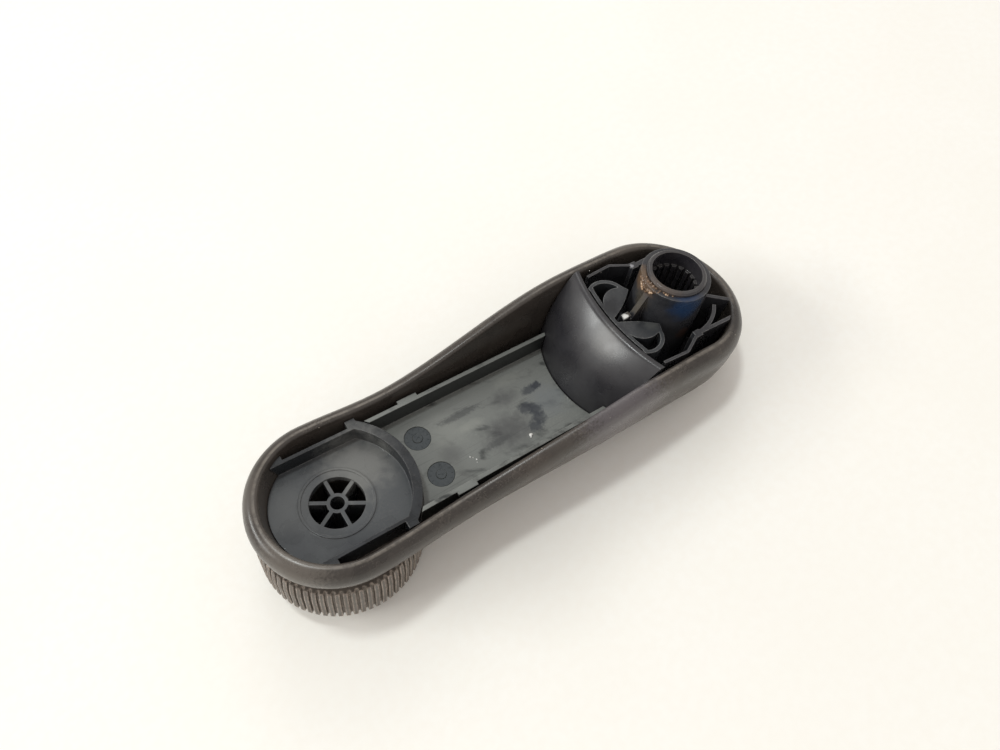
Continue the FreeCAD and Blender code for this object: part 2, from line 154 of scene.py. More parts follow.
class Effect:
    """A shader node group that several materials share."""

    def __init__(self, name: str, inputs: dict[str, float], outputs: list[str], facing: bool = False) -> None:
        """Make an empty group with a place input and named float sockets.

        Args:
            name: the group's name.
            inputs: float inputs to their default values.
            outputs: names of the float outputs.
            facing: whether the group also takes a normal that is rounded at the edges.
        """
        self.tree = bpy.data.node_groups.new(name, "ShaderNodeTree")
        self.tree.interface.new_socket("Place", in_out="INPUT", socket_type="NodeSocketVector")
        if facing:
            self.tree.interface.new_socket("Rounded", in_out="INPUT", socket_type="NodeSocketVector")
        for key, value in inputs.items():
            socket = self.tree.interface.new_socket(key, in_out="INPUT", socket_type="NodeSocketFloat")
            socket.default_value = value
        for key in outputs:
            self.tree.interface.new_socket(key, in_out="OUTPUT", socket_type="NodeSocketFloat")
        self.bench = Bench(self.tree)
        self.source = self.tree.nodes.new("NodeGroupInput")
        self.sink = self.tree.nodes.new("NodeGroupOutput")

    def read(self, name: str) -> Socket:
        """Give the socket that holds one of the group's inputs."""
        return self.source.outputs[name]

    def inverse(self, name: str) -> Socket:
        """Give one over an input, such as the waves per metre of a size."""
        return self.bench.math("DIVIDE", 1.0, self.read(name))

    def squeezed(self, point: Socket) -> Socket:
        """Give a point with its X divided by the Stretch input."""
        squeeze = self.bench.node("CombineXYZ", {0: self.inverse("Stretch"), 1: 1.0, 2: 1.0}).outputs[0]
        return self.bench.node("VectorMath", {0: point, 1: squeeze}, operation="MULTIPLY").outputs[0]

    def write(self, name: str, value: Socket) -> None:
        """Send a socket to one of the group's outputs."""
        self.tree.links.new(value, self.sink.inputs[name])

    def place(self, bench: Bench, place: Socket, **values: object) -> bpy.types.Node:
        """Put the group in a material.

        Args:
            bench: the material's bench.
            place: the point that the effect is worked out for.
            **values: numbers or sockets for the inputs, with an underscore for each space in their names.

        Returns:
            The group's node.
        """
        made = bench.tree.nodes.new("ShaderNodeGroup")
        made.node_tree = self.tree
        named = {key.replace("_", " "): value for key, value in values.items()}
        bench.feed(made, {"Place": place, **named})
        return made


class EffectShelf:
    """The shared effects: moulded grain, rubbed haze, dust, specks, scratches, soft patches of colour for
    stains and painted highlights, and pale edges that are partly worn and partly painted highlight.

    Pairs are the low and high ends of a ramp, and rates are in waves per metre.
    """

    TONE = (0.35, 0.68)
    LEVEL = (0.6, 0.95)
    DUSTY = (0.2, 0.95)
    DUST_SPECK = (0.45, 0.75)
    DUST_PATCH = (0.35, 0.7)
    PATCH_RATE = 120.0
    HAZE_BARE = 1.05
    HAZE_SPAN = 0.8
    HAZE_SOFT = 0.28
    MOTTLE_RATE = 900.0
    MOTTLE_SHARE = 0.25
    SCRATCH_TURNS = (0.5, -0.8)
    SCRATCH_TILT = (0.2, 0.1)
    SCRATCH_SQUEEZE = (1.0, 60.0, 12.0)
    SCRATCH_CUT = (0.68, 0.74)
    SMEAR_RIM = (0.0, 0.25)
    LEAST_CRUMB = 0.4
    EDGE_TURN = (0.90, 0.995)
    CREST = (0.95, 0.998)
    CHIP_RATE = 700.0
    CHIPS = (0.35, 0.6, 0.35, 1.0)

    def __init__(self) -> None:
        """Build every shared group once."""
        self.grain = self.make_grain()
        self.haze = self.make_haze()
        self.dust = self.make_dust()
        self.scratches = self.make_scratches()
        self.stain_or_light = self.make_stain_or_light()
        self.specks = self.make_specks()
        self.wear_and_highlight = self.make_wear_and_highlight()

    @classmethod
    def make_grain(cls) -> Effect:
        """Fine spark-eroded grain with a slow unevenness.

        Returns:
            A group with a height and a tone output.
        """
        group = Effect("moulded grain", {"Grain Size": 0.0003, "Slow Size": 0.006}, ["Height", "Tone"])
        bench = group.bench
        slow = bench.noise(group.read("Place"), group.inverse("Slow Size"), rough=0.5)
        group.write("Height", bench.noise(group.read("Place"), group.inverse("Grain Size"), 2.0, rough=0.5))
        group.write("Tone", bench.ramp(slow, *cls.TONE))
        return group

    @classmethod
    def make_haze(cls) -> Effect:
        """Milky haze in streaky clouds on faces that look up, below a given height.

        Returns:
            A group with a mask output.
        """
        inputs = {"Cloud Size": 0.012, "Cover": 0.5, "Stretch": 1.0, "Turn": 0.0, "Top": 1.0, "On Walls": 0.3}
        group = Effect("rubbed haze", inputs, ["Mask"])
        bench = group.bench
        values = {"Vector": group.read("Place"), "Angle": group.read("Turn")}
        streaked = group.squeezed(bench.node("VectorRotate", values, rotation_type="Z_AXIS").outputs[0])
        cloud = bench.noise(streaked, group.inverse("Cloud Size"), 4.0, rough=0.5, distortion=0.6)
        mottle = bench.math("MULTIPLY", bench.noise(streaked, cls.MOTTLE_RATE), cls.MOTTLE_SHARE)
        covered = bench.math("MULTIPLY", group.read("Cover"), cls.HAZE_SPAN)
        edge = bench.math("SUBTRACT", cls.HAZE_BARE, covered)
        low = bench.math("SUBTRACT", edge, cls.HAZE_SOFT)
        mask = bench.ramp(bench.math("ADD", cloud, mottle), low, edge)
        flat = bench.ramp(bench.upward(), *cls.LEVEL)
        wall = bench.math("MULTIPLY", bench.math("SUBTRACT", 1.0, flat), group.read("On Walls"))
        height = bench.node("SeparateXYZ", {0: group.read("Place")}).outputs["Z"]
        under = bench.math("LESS_THAN", height, group.read("Top"))
        reach = bench.math("MULTIPLY", bench.math("ADD", flat, wall), under)
        group.write("Mask", bench.math("MULTIPLY", mask, reach, clamp=True))
        return group

    @classmethod
    def make_dust(cls) -> Effect:
        """Dust that settles on faces that look up, in fine specks.

        Returns:
            A group with a mask output.
        """
        group = Effect("settled dust", {"Speck Size": 0.0005, "Amount": 0.3}, ["Mask"])
        bench = group.bench
        facing = bench.ramp(bench.upward(), *cls.DUSTY)
        patch = bench.ramp(bench.noise(group.read("Place"), cls.PATCH_RATE), *cls.DUST_PATCH)
        speck = bench.noise(group.read("Place"), group.inverse("Speck Size"), 4.0, rough=0.5)
        fine = bench.ramp(speck, *cls.DUST_SPECK)
        mask = bench.math("MULTIPLY", bench.math("MULTIPLY", facing, fine), patch)
        group.write("Mask", bench.math("MULTIPLY", mask, group.read("Amount"), clamp=True))
        return group

    @classmethod
    def make_scratches(cls) -> Effect:
        """Thin handling scratches in two directions.

        Returns:
            A group with a mask output.
        """
        group = Effect("handling scratches", {"Length": 0.02, "Amount": 0.5}, ["Mask"])
        bench = group.bench
        masks = []
        for turn in cls.SCRATCH_TURNS:
            values = {"Vector": group.read("Place"), "Rotation": (*cls.SCRATCH_TILT, turn),
                      "Scale": cls.SCRATCH_SQUEEZE}
            mapped = bench.node("Mapping", values).outputs[0]
            lines = bench.noise(mapped, group.inverse("Length"), 1.0, rough=0.5)
            masks.append(bench.ramp(lines, *cls.SCRATCH_CUT))
        both = bench.math("MAXIMUM", *masks)
        group.write("Mask", bench.math("MULTIPLY", both, group.read("Amount"), clamp=True))
        return group

    @classmethod
    def make_stain_or_light(cls) -> Effect:
        """A soft patch of colour round one spot, broken up by noise; such patches make stains and also
        painted highlights and reflections.

        Returns:
            A group with a mask output.
        """
        inputs = {"Spot X": 0.0, "Spot Y": 0.0, "Spot Z": 0.0, "Reach": 0.006, "Stretch": 1.0,
                  "Break Size": 0.002, "Softness": 0.3}
        group = Effect("stain_or_light", inputs, ["Mask"])
        bench = group.bench
        spot = bench.node("CombineXYZ", {axis: group.read("Spot " + axis) for axis in "XYZ"}).outputs[0]
        offset = bench.node("VectorMath", {0: group.read("Place"), 1: spot}, operation="SUBTRACT").outputs[0]
        away = bench.node("VectorMath", {0: group.squeezed(offset)}, operation="LENGTH").outputs["Value"]
        near = bench.ramp(bench.math("DIVIDE", away, group.read("Reach")), 0.0, 1.0, 1.0, 0.0)
        broken = bench.noise(group.read("Place"), group.inverse("Break Size"), 4.0, rough=0.5, distortion=0.5)
        low = bench.math("SUBTRACT", 1.0, group.read("Softness"))
        high = bench.math("ADD", 1.0, group.read("Softness"))
        mask = bench.ramp(bench.math("ADD", near, broken), low, high)
        group.write("Mask", bench.math("MULTIPLY", mask, bench.ramp(near, *cls.SMEAR_RIM)))
        return group

    @classmethod
    def make_specks(cls) -> Effect:
        """Single crumbs of dirt, a few to each square centimetre.

        Returns:
            A group with a mask output.
        """
        group = Effect("crumbs", {"Spacing": 0.002, "Crumb Size": 0.15, "Share": 0.3}, ["Mask"])
        bench = group.bench
        cells = bench.node("TexVoronoi", {"Vector": group.read("Place"), "Scale": group.inverse("Spacing")})
        pick = bench.node("SeparateColor", {0: cells.outputs["Color"]}).outputs[0]
        share = bench.math("ADD", pick, cls.LEAST_CRUMB)
        size = bench.math("MULTIPLY", group.read("Crumb Size"), share)
        inside = bench.math("LESS_THAN", cells.outputs["Distance"], size)
        chosen = bench.math("LESS_THAN", pick, group.read("Share"))
        group.write("Mask", bench.math("MULTIPLY", inside, chosen))
        return group

    @classmethod
    def make_wear_and_highlight(cls) -> Effect:
        """Pale edges, where the rounded normal leaves the plain one, and a pale line on crests that face up;
        both are partly rubbed wear and partly painted highlight.

        Returns:
            A group with a mask output.
        """
        group = Effect("rubbed and highlit edges", {"Amount": 0.5, "Crest": 0.0}, ["Mask"], facing=True)
        bench = group.bench
        plain = bench.node("NewGeometry").outputs["Normal"]
        turn = bench.node("VectorMath", {0: plain, 1: group.read("Rounded")}, operation="DOT_PRODUCT")
        edge = bench.ramp(turn.outputs["Value"], *cls.EDGE_TURN, 1.0, 0.0)
        broken = bench.ramp(bench.noise(group.read("Place"), cls.CHIP_RATE), *cls.CHIPS)
        # Painted highlight: where a crest faces up it turns paler, standing in for the lamp's highlight, and
        # partly for rubbing.
        crest_rub_and_highlight = bench.math("MULTIPLY", bench.ramp(bench.upward(), *cls.CREST), group.read("Crest"))
        rubbed = bench.math("MAXIMUM", bench.math("MULTIPLY", edge, group.read("Amount")), crest_rub_and_highlight)
        group.write("Mask", bench.math("MULTIPLY", rubbed, broken, clamp=True))
        return group


@dataclass(frozen=True)
class StainOrPaintedLight:
    """One soft patch of colour on a finish, in millimetres in the handle's frame: stains, and painted
    highlights and reflections where their comment says so.
    """

    colour: Colour
    spot: tuple[float, float, float]
    reach: float
    strength: float = 1.0
    break_size: float = 1.6
    softness: float = 0.3
    stretch: float = 1.0


def trail(colour: Colour, spots: tuple[tuple[float, float], ...], height: float, reach: float,
          strength: float = 0.75, break_size: float = 0.9, softness: float = 0.32) -> tuple[StainOrPaintedLight, ...]:
    """Lay stains one after another along a line at one height.

    Args:
        colour: the stains' colour.
        spots: places along and across the arm, in millimetres.
        height: their height.
        reach: the reach of each.
        strength: how much each covers.
        break_size: the size of its gaps.
        softness: how softly it ends.

    Returns:
        One stain for each spot.
    """
    return tuple(StainOrPaintedLight(colour, (x, y, height), reach, strength, break_size, softness) for x, y in spots)


class Blank:
    """A new material that a finish fills in."""

    def __init__(self, name: str) -> None:
        """Make the material and look up what a finish needs.

        Args:
            name: the material's name.
        """
        self.material = bpy.data.materials.new(name)
        self.material.use_nodes = True
        self.bench = Bench(self.material.node_tree)
        self.shader = self.material.node_tree.nodes["Principled BSDF"]
        self.place = self.bench.node("TexCoord").outputs["Object"]

    def filled(self, values: dict) -> Material:
        """Set the shader's inputs and give the material."""
        self.bench.feed(self.shader, values)
        return self.material


@dataclass(frozen=True)
class Plastic:
    """A moulded plastic finish, with its sizes in millimetres."""

    name: str
    base: Colour
    second: Colour
    haze_colour: Colour
    haze: float = 0.0
    haze_cover: float = 0.5
    haze_size: float = 12.0
    haze_stretch: float = 1.0
    haze_turn: float = 0.0
    haze_top: float = 1000.0
    haze_walls: float = 0.3
    gloss_rough: float = 0.38
    matt_rough: float = 0.55
    grain_size: float = 0.3
    grain_depth: float = 0.02
    grain_strength: float = 0.6
    round_size: float = 0.18
    wear_and_highlight: float = 0.35
    crest_rub_and_highlight: float = 0.0
    wear_and_highlight_colour: Colour = (0.16, 0.155, 0.145)
    dust: float = 0.15
    dust_colour: Colour = (0.30, 0.28, 0.25)
    dust_rough: float = 0.3
    crumbs: float = 0.0
    crumb_colour: Colour = (0.45, 0.41, 0.34)
    scratch: float = 0.25
    scratch_gain: float = 1.7
    scratch_lift: float = 0.02
    specular: float = 0.5
    stains_and_lights: tuple[StainOrPaintedLight, ...] = ()

    def colour(self, bench: Bench, shelf: EffectShelf, place: Socket, tone: Socket) -> Socket:
        """Mix the plain colour with its haze and scratches.

        Args:
            bench: the material's bench.
            shelf: the shared effects.
            place: the point on the surface.
            tone: the slow unevenness of the moulding.

        Returns:
            The colour before edges, dust and stains.
        """
        haze = shelf.haze.place(bench, place, Cloud_Size=self.haze_size * MM, Cover=self.haze_cover,
                                Stretch=self.haze_stretch, Turn=self.haze_turn, Top=self.haze_top * MM,
                                On_Walls=self.haze_walls)
        scratches = shelf.scratches.place(bench, place, Amount=self.scratch)
        colour = bench.mix(tone, self.base, self.second)
        colour = bench.mix(bench.math("MULTIPLY", haze.outputs["Mask"], self.haze), colour, self.haze_colour)
        scored = tuple(c * self.scratch_gain + self.scratch_lift for c in self.base)
        return bench.mix(scratches.outputs["Mask"], colour, scored)

    def material(self, shelf: EffectShelf) -> Material:
        """Build the material.

        Args:
            shelf: the shared effects.

        Returns:
            The new material.
        """
        blank = Blank(self.name)
        bench, place = blank.bench, blank.place
        rounded = bench.node("Bevel", {"Radius": self.round_size * MM}, samples=BEVEL_SAMPLES).outputs[0]
        grain = shelf.grain.place(bench, place, Grain_Size=self.grain_size * MM)
        # Pale edges and crest line: partly rubbed wear, partly painted highlight.
        wear_and_highlight = shelf.wear_and_highlight.place(bench, place, Rounded=rounded, Amount=self.wear_and_highlight, Crest=self.crest_rub_and_highlight)
        dust = shelf.dust.place(bench, place, Amount=self.dust)
        colour = self.colour(bench, shelf, place, grain.outputs["Tone"])
        colour = bench.mix(wear_and_highlight.outputs["Mask"], colour, self.wear_and_highlight_colour)
        colour = bench.mix(dust.outputs["Mask"], colour, self.dust_colour)
        rough = bench.ramp(grain.outputs["Tone"], 0.0, 1.0, self.gloss_rough, self.matt_rough)
        dusty = bench.math("MULTIPLY", dust.outputs["Mask"], self.dust_rough)
        rough = bench.math("ADD", rough, dusty, clamp=True)
        if self.crumbs:
            crumbs = shelf.specks.place(bench, place, Share=self.crumbs)
            colour = bench.mix(crumbs.outputs["Mask"], colour, self.crumb_colour)
        # Soft patches of colour: most are stains, some are painted highlights and reflections, as noted at
        # each finish.
        for stain_or_light in self.stains_and_lights:
            spots = dict(zip(("Spot_X", "Spot_Y", "Spot_Z"), (c * MM for c in stain_or_light.spot)))
            mark = shelf.stain_or_light.place(bench, place, Reach=stain_or_light.reach * MM, Break_Size=stain_or_light.break_size * MM,
                                      Softness=stain_or_light.softness, Stretch=stain_or_light.stretch, **spots)
            share = bench.math("MULTIPLY", mark.outputs["Mask"], stain_or_light.strength)
            colour = bench.mix(share, colour, stain_or_light.colour)
        bump = bench.node("Bump", {"Height": grain.outputs["Height"], "Strength": self.grain_strength,
                                   "Distance": self.grain_depth * MM, "Normal": rounded})
        return blank.filled({"Base Color": colour, "Roughness": rough, "Normal": bump.outputs[0],
                             "Specular IOR Level": self.specular})


@dataclass(frozen=True)
class Grease:
    """Old amber grease, wet and uneven."""

    name: str = "amber grease"
    thin: Colour = (0.075, 0.045, 0.026)
    thick: Colour = (0.21, 0.135, 0.085)
    rough: float = 0.14
    lump_size: float = 0.5
    rough_spread: float = 0.15
    depth: float = 0.08
    strength: float = 0.8

    def material(self, shelf: EffectShelf) -> Material:
        """Build the material.

        Args:
            shelf: the shared effects.

        Returns:
            The new material.
        """
        blank = Blank(self.name)
        bench = blank.bench
        grain = shelf.grain.place(bench, blank.place, Grain_Size=self.lump_size * MM,
                                  Slow_Size=2.0 * self.lump_size * MM)
        colour = bench.mix(grain.outputs["Tone"], self.thin, self.thick)
        rough = bench.ramp(grain.outputs["Tone"], 0.0, 1.0, self.rough, self.rough + self.rough_spread)
        bump = bench.node("Bump", {"Height": grain.outputs["Height"], "Strength": self.strength,
                                   "Distance": self.depth * MM})
        return blank.filled({"Base Color": colour, "Roughness": rough, "Normal": bump.outputs[0]})


@dataclass(frozen=True)
class Lint:
    """Pale crumbs of dust and lint."""

    name: str = "pale lint"
    dull: Colour = (0.62, 0.60, 0.56)
    clean: Colour = (0.95, 0.94, 0.92)
    slow_size: float = 0.6
    rough: float = 0.8

    def material(self, shelf: EffectShelf) -> Material:
        """Build the material.

        Args:
            shelf: the shared effects.

        Returns:
            The new material.
        """
        blank = Blank(self.name)
        grain = shelf.grain.place(blank.bench, blank.place, Slow_Size=self.slow_size * MM)
        colour = blank.bench.mix(grain.outputs["Tone"], self.dull, self.clean)
        return blank.filled({"Base Color": colour, "Roughness": self.rough})


INK_BLUE = (0.026, 0.031, 0.040)
# The shell's pale edges and the pale line on its up-facing crest are partly rubbed wear and partly painted
# highlight.
SHELL_BLACK = Plastic("brown black shell", (0.031, 0.026, 0.022), (0.044, 0.037, 0.031),
                      (0.075, 0.064, 0.054), haze=0.35, haze_cover=0.45, haze_walls=1.0, gloss_rough=0.25,
                      matt_rough=0.36, dust=0.3, scratch=0.4, wear_and_highlight=1.0, crest_rub_and_highlight=0.6, round_size=0.5,
                      wear_and_highlight_colour=(0.21, 0.185, 0.155), crumbs=0.12, dust_colour=(0.24, 0.205, 0.165),
                      stains_and_lights=(StainOrPaintedLight((0.017, 0.0145, 0.013), (-11.5, 13.0, -9.5), 10.0, 0.85, 0.8, 0.45),
                              StainOrPaintedLight((0.10, 0.085, 0.07), (-2.0, -18.0, -9.5), 9.0, 0.5, 0.7),
                              # Painted reflection: a pale lavender patch on the near outer wall, where the
                              # pale floor shows in the shell.
                              StainOrPaintedLight((0.135, 0.122, 0.131), (27.0, 20.0, -16.0), 21.0, 0.65, 0.6),
                              StainOrPaintedLight((0.058, 0.043, 0.033), (50.0, 17.0, -21.0), 10.0, 0.35, 0.6),
                              StainOrPaintedLight((0.15, 0.132, 0.112), (103.0, 9.0, -22.0), 15.0, 0.6, 0.6),
                              StainOrPaintedLight((0.13, 0.113, 0.096), (106.0, -8.0, -22.0), 12.0, 0.35, 0.6)))
TRAY_HAZE = Plastic("hazy tray", (0.018, 0.020, 0.020), (0.026, 0.029, 0.028), (0.183, 0.193, 0.18),
                    haze=0.9, haze_cover=0.54, haze_size=4.0, haze_stretch=2.2, haze_turn=0.5,
                    haze_walls=0.06, gloss_rough=0.3, matt_rough=0.45, dust=0.2, scratch=0.3, specular=0.4,
                    dust_colour=(0.33, 0.34, 0.31), wear_and_highlight=0.6, wear_and_highlight_colour=(0.22, 0.22, 0.205),
                    round_size=0.3,
                    stains_and_lights=(StainOrPaintedLight((0.22, 0.23, 0.21), (60.0, -3.5, -28.5), 8.0, 0.6, 3.0, 0.45),
                            StainOrPaintedLight((0.25, 0.26, 0.235), (54.0, -2.0, -28.4), 2.6, 0.6, 1.5, 0.45, 2.2),
                            StainOrPaintedLight((0.22, 0.23, 0.21), (39.0, -8.6, -28.1), 2.6, 0.6, 2.0, 0.45, 3.0),
                            StainOrPaintedLight((0.15, 0.165, 0.172), (33.0, 1.5, -28.0), 9.0, 0.6, 3.0, 0.45),
                            StainOrPaintedLight((0.055, 0.055, 0.057), (46.5, 3.8, -28.3), 7.5, 0.75, 2.0, 0.6, 1.5),
                            StainOrPaintedLight((0.06, 0.06, 0.062), (43.0, -4.4, -28.2), 3.8, 0.65, 1.6, 0.6, 1.6),
                            StainOrPaintedLight((0.055, 0.058, 0.058), (54.7, -5.9, -28.4), 1.8, 0.7, 0.6, 0.35, 6.0),
                            StainOrPaintedLight((0.055, 0.058, 0.058), (50.5, 5.2, -28.3), 1.8, 0.7, 0.6, 0.35, 4.0),
                            StainOrPaintedLight((0.08, 0.083, 0.083), (62.0, 2.2, -28.5), 4.5, 0.5, 2.0, 0.6),
                            StainOrPaintedLight(INK_BLUE, (35.8, -3.3, -28.0), 2.3, 0.75, 0.8, 0.3, 1.9),
                            StainOrPaintedLight(INK_BLUE, (33.7, -3.5, -28.0), 2.0, 0.95, 0.8, 0.25, 1.3),
                            *trail(INK_BLUE, ((39.6, 0.7), (37.9, 2.4), (38.3, 4.6), (40.3, 6.0)),
                                   -28.1, 3.4)))
CUP_BLUE = Plastic("blue grey cup", (0.014, 0.016, 0.018), (0.020, 0.0225, 0.026), (0.073, 0.079, 0.083),
                   haze=0.9, haze_cover=0.72, haze_size=10.0, haze_top=-26.0, haze_walls=0.0,
                   gloss_rough=0.24, matt_rough=0.38, specular=0.35, dust=0.08, wear_and_highlight=0.5,
                   wear_and_highlight_colour=(0.17, 0.165, 0.16), round_size=0.3,
                   stains_and_lights=(StainOrPaintedLight((0.17, 0.172, 0.162), (82.0, -6.0, -28.0), 14.0, 0.85, 2.5, 0.45),
                           StainOrPaintedLight((0.030, 0.034, 0.040), (92.0, 14.0, -28.0), 11.0, 0.6, 3.0, 0.5),
                           StainOrPaintedLight((0.030, 0.034, 0.040), (104.0, 5.0, -28.0), 8.0, 0.4, 3.0, 0.5),
                           StainOrPaintedLight((0.10, 0.105, 0.105), (99.0, -3.0, -28.0), 10.0, 0.7, 4.0, 0.5)))
HUB_DARK = Plastic("dark hub", (0.018, 0.0185, 0.022), (0.027, 0.027, 0.031), (0.058, 0.060, 0.064),
                   haze=0.35, haze_cover=0.45, gloss_rough=0.26, matt_rough=0.4, dust=0.1, wear_and_highlight=0.9,
                   haze_walls=1.0, wear_and_highlight_colour=(0.20, 0.195, 0.19), round_size=0.32,
                   stains_and_lights=(StainOrPaintedLight((0.15, 0.10, 0.066), (7.4, -2.0, -1.2), 6.5, 0.9, 1.2, 0.4),
                           StainOrPaintedLight((0.13, 0.085, 0.052), (7.0, -5.0, -2.6), 4.5, 0.8, 1.2, 0.4),
                           StainOrPaintedLight((0.095, 0.08, 0.06), (11.6, -0.2, -7.0), 3.4, 0.8, 0.9, 0.4),
                           StainOrPaintedLight((0.075, 0.065, 0.048), (9.6, -1.0, -6.4), 5.0, 0.8, 0.9, 0.4),
                           StainOrPaintedLight((0.012, 0.038, 0.10), (2.6, 7.6, -3.6), 6.5, 0.9, 3.0, 0.6),
                           StainOrPaintedLight((0.11, 0.055, 0.035), (0.4, 8.6, -13.8), 3.6, 0.6, 1.0, 0.3),
                           StainOrPaintedLight((0.06, 0.06, 0.066), (3.9, 8.4, -18.5), 8.0, 0.8, 2.0, 0.5),
                           # Painted highlight: a pale glint on the end of the gusset's stud.
                           StainOrPaintedLight((0.75, 0.75, 0.72), (13.5, 0.2, -8.4), 1.6, 0.95, 0.8, 0.2),
                           # Painted highlight: a pale glint on the face of the far block.
                           StainOrPaintedLight((0.4, 0.4, 0.42), (0.9, -12.3, -9.7), 1.0, 0.7, 0.8, 0.2)))
BUSH_DARK = Plastic("dark bush", (0.024, 0.023, 0.027), (0.034, 0.032, 0.036), (0.07, 0.066, 0.063),
                    haze=0.35, haze_cover=0.6, haze_walls=0.0, gloss_rough=0.22, matt_rough=0.36,
                    dust=0.05, wear_and_highlight=0.45, round_size=0.3, wear_and_highlight_colour=(0.2, 0.19, 0.175),
                    stains_and_lights=(StainOrPaintedLight((0.088, 0.068, 0.056), (6.6, 2.0, 0.0), 7.5, 0.85, 1.2, 0.45),))
DAM_SMOOTH = Plastic("smooth dam", (0.017, 0.0165, 0.020), (0.024, 0.0235, 0.027), (0.045, 0.044, 0.045),
                     haze=0.35, haze_cover=0.5, haze_walls=1.0, gloss_rough=0.27, matt_rough=0.33,
                     grain_depth=0.012, dust=0.05, scratch=0.12, wear_and_highlight=0.6, wear_and_highlight_colour=(0.2, 0.2, 0.195),
                     specular=0.62,
                     # Painted highlight: a paler patch on the dam's upper face, where the window lamp is
                     # reflected.
                     stains_and_lights=(StainOrPaintedLight((0.125, 0.118, 0.108), (21.0, 3.0, -10.6), 7.0, 0.5, 0.5, 0.5, 0.8),))
CLIP_GREY = Plastic("cool grey clip", (0.017, 0.019, 0.022), (0.025, 0.0275, 0.031), (0.05, 0.054, 0.057),
                    haze=0.5, haze_cover=0.5, haze_size=3.0, gloss_rough=0.28, matt_rough=0.4, dust=0.1,
                    wear_and_highlight=1.0, wear_and_highlight_colour=(0.24, 0.245, 0.24), round_size=0.32,
                    stains_and_lights=(StainOrPaintedLight((0.08, 0.083, 0.08), (9.5, 5.0, -8.6), 3.0, 0.6, 1.5, 0.4),
                            StainOrPaintedLight((0.008, 0.009, 0.011), (15.2, -4.2, -8.6), 4.5, 0.8, 1.5, 0.4)))
# Lighter than the other plastics; the lightness partly paints in the glints of its leg ends.
RETAINER_GREY_WITH_PAINTED_GLINT = Plastic("retainer grey with painted glint", (0.05, 0.05, 0.05), (0.07, 0.07, 0.068), (0.12, 0.12, 0.12),
                        haze=0.4, haze_walls=1.0, gloss_rough=0.16, matt_rough=0.26)
KNOB_BLACK = Plastic("dusty knob", (0.060, 0.050, 0.041), (0.085, 0.071, 0.058), (0.14, 0.12, 0.10),
                     haze=0.4, haze_cover=0.5, haze_walls=1.0, gloss_rough=0.4, matt_rough=0.55, dust=0.15,
                     wear_and_highlight=1.0, wear_and_highlight_colour=(0.52, 0.43, 0.355), round_size=0.6,
                     dust_colour=(0.30, 0.27, 0.225))
STAMP_TEAL = Plastic("dark stamp insert", (0.014, 0.021, 0.025), (0.024, 0.033, 0.038), (0.062, 0.073, 0.078),
                     haze=0.4, haze_size=2.0, gloss_rough=0.4, matt_rough=0.5, dust=0.1, wear_and_highlight=0.4,
                     round_size=0.05, wear_and_highlight_colour=(0.10, 0.115, 0.12))


class Paints:
    """The finishes in use, each built once."""

    def __init__(self) -> None:
        """Build the shared effects."""
        self.shelf = EffectShelf()
        self.made: dict[str, Material] = {}

    def coat(self, piece: bpy.types.Object, finish: Plastic | Grease | Lint) -> None:
        """Give a piece one finish and no other.

        Args:
            piece: the object to coat.
            finish: the finish to give it.
        """
        if finish.name not in self.made:
            self.made[finish.name] = finish.material(self.shelf)
        piece.data.materials.clear()
        piece.data.materials.append(self.made[finish.name])


def new_piece(name: str, mesh: bpy.types.Mesh, body: Body) -> bpy.types.Object:
    """Put a mesh in the scene as a piece of one body.

    Args:
        name: the piece's name.
        mesh: its mesh, in metres in the handle's frame.
        body: the body that it moves with.

    Returns:
        The new object.
    """
    piece = bpy.data.objects.new(name, mesh)
    bpy.context.collection.objects.link(piece)
    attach(piece, body.value)
    return piece


@dataclass(frozen=True)
class Moulding:
    """A moulding shown with smooth curves in place of its faceted solid."""

    node: str
    body: Body
    slot: Slot
    finish: Plastic
    crease_deg: float = 40.0
    weld: float = 0.002

    def welded(self) -> bpy.types.Mesh:
        """Copy the solid's mesh with its faces joined at the edges.

        Returns:
            The copy, smooth but for its sharp creases.
        """
        mesh = bpy.data.objects[self.node].data.copy()
        mesh.name = self.node + "_moulding"
        work = bmesh.new()
        work.from_mesh(mesh)
        bmesh.ops.remove_doubles(work, verts=work.verts, dist=self.weld * MM)
        work.to_mesh(mesh)
        work.free()
        old = mesh.attributes.get("custom_normal")
        if old:
            mesh.attributes.remove(old)
        mesh.shade_smooth()
        mesh.set_sharp_from_angle(angle=math.radians(self.crease_deg))
        return mesh

    def build(self, paints: Paints) -> None:
        """Make the moulding and hide its solid.

        Args:
            paints: the finishes in use.
        """
        piece = new_piece(self.node + "_moulding", self.welded(), self.body)
        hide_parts(self.node)
        paints.coat(piece, self.finish)
        LOG.info("moulded %s in %s", self.node, self.finish.name)


@dataclass
class Mouldings:
    """The solids' finishes: the shell as a smooth copy, the others but the dam as they are."""

    shell: Moulding = Moulding("outer_shell", Body.HANDLE, Slot.SHELL, SHELL_BLACK)
    plain: dict[str, Plastic] = field(default_factory=lambda: {
        "tray": TRAY_HAZE, "knob_cup": CUP_BLUE, "hub_core": HUB_DARK, "splined_bush": BUSH_DARK,
        "retaining_clip": CLIP_GREY, "knob_retainer": RETAINER_GREY_WITH_PAINTED_GLINT, "knob_barrel": KNOB_BLACK,
        "knob_cover": KNOB_BLACK})

    def build(self, paints: Paints) -> None:
        """Make the smooth copy and dress the other solids.

        Args:
            paints: the finishes in use.
        """
        self.shell.build(paints)
        for node, finish in self.plain.items():
            paints.coat(bpy.data.objects[node], finish)
            LOG.info("dressed %s in %s", node, finish.name)


def join_loops(work: bmesh.types.BMesh, here: list, there: list) -> None:
    """Join two closed loops of corners with a band of four-sided faces.

    Args:
        work: the mesh to add to.
        here: one loop's corners, in order.
        there: the other's, as many.
    """
    for index, corner in enumerate(here):
        after = (index + 1) % len(here)
        work.faces.new((corner, there[index], there[after], here[after]))


